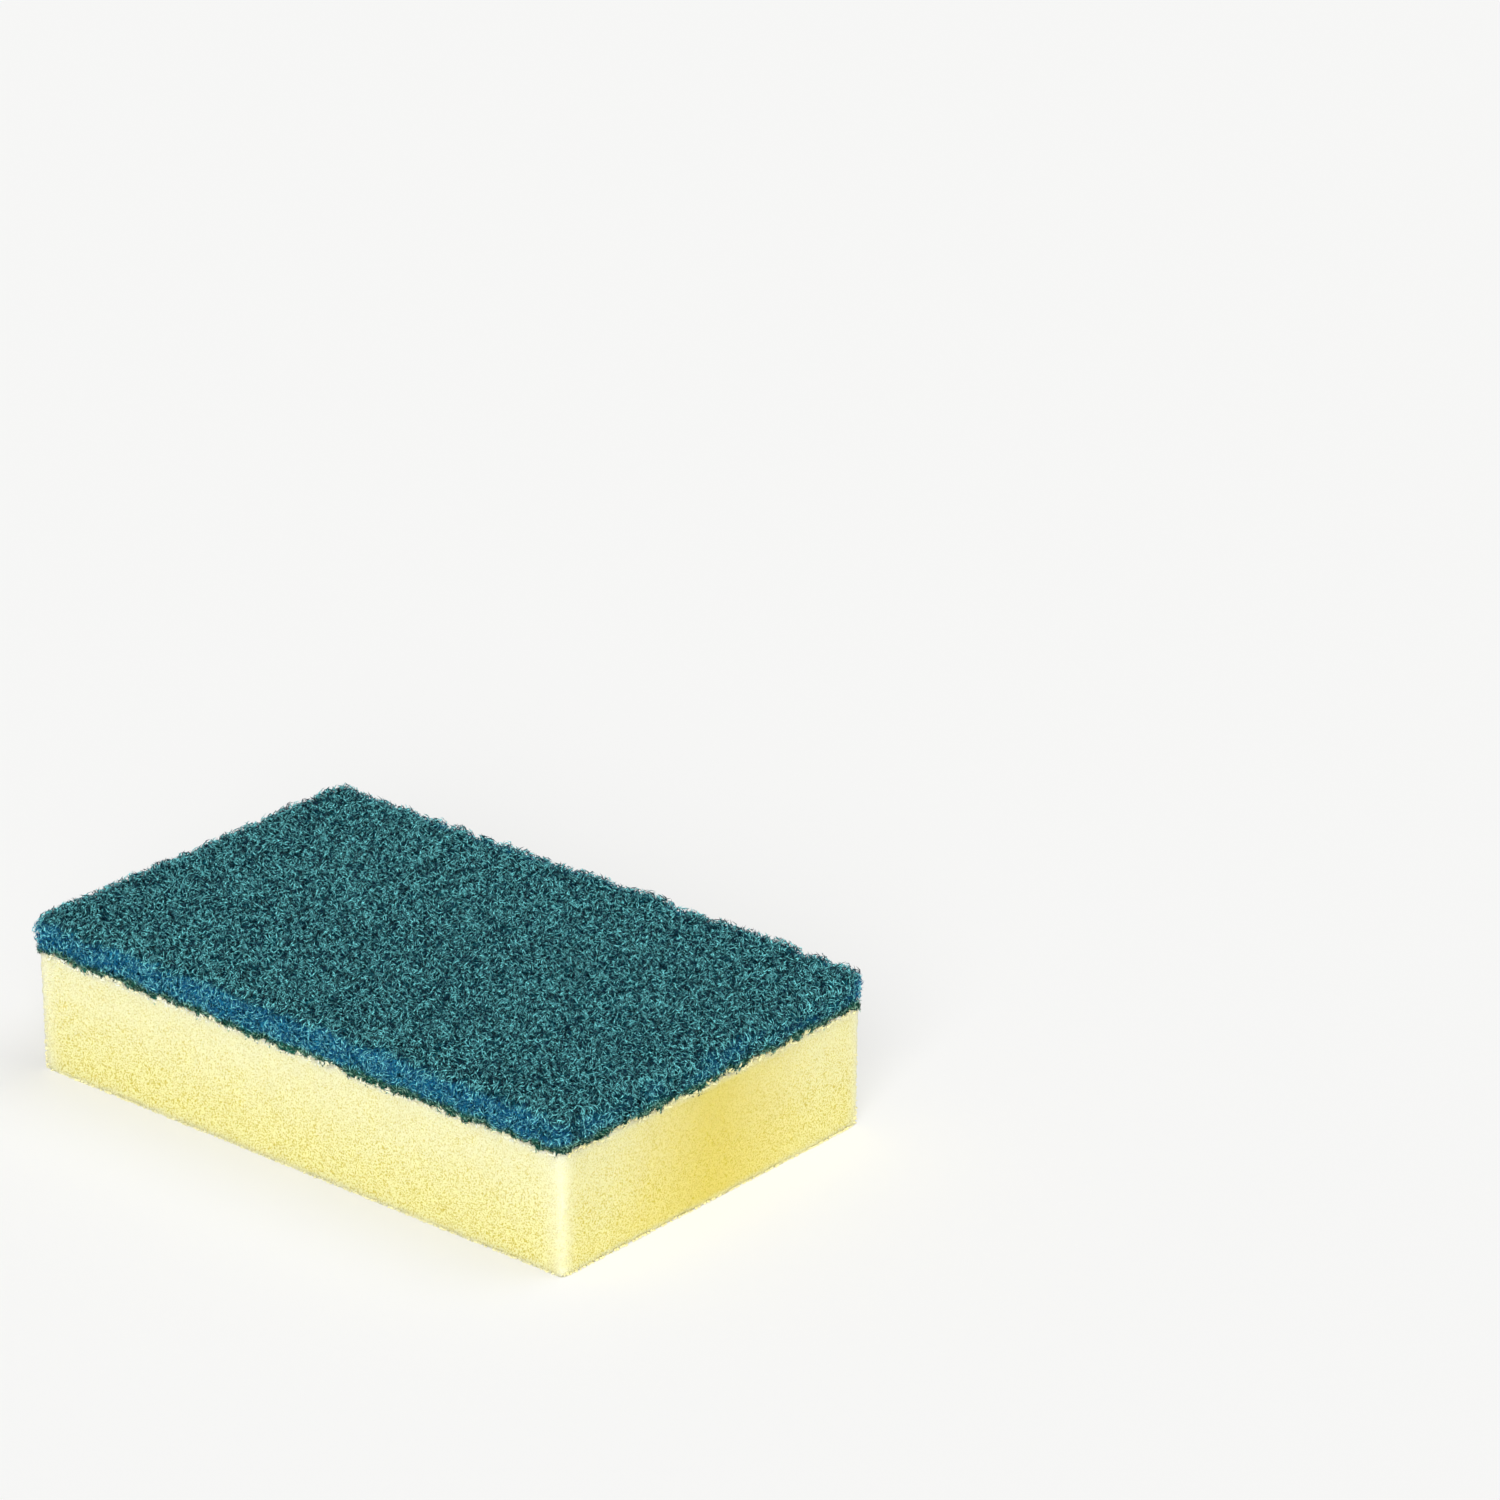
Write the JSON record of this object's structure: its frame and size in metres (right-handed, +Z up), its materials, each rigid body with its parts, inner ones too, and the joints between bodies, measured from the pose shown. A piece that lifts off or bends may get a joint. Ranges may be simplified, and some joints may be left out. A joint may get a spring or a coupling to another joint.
{
  "type": "cleaning sponge",
  "caption": "Rectangular cleaning sponge: a block of soft open-cell foam with a scouring pad of bonded fibre glued over its upper face, for wiping and scrubbing.",
  "frame": {"origin": "centre of the foam's lower face, on the surface that the sponge lies on", "axes": "+X along the sponge's length, +Y across its width, +Z up from the foam towards the scouring pad"},
  "size_m": [0.1112, 0.0692, 0.0265],
  "materials": {
    "foam": "knife-cut open-cell polyurethane foam, matt",
    "glue": "dried glue, dull",
    "fibre_web": "lofty web of crimped nylon fibre bonded with resin, blue in its core"
  },
  "bodies": {
    "root": {"foam_block": "foam", "glue_layer": "glue", "scouring_pad": "fibre_web"}
  },
  "joints": []
}
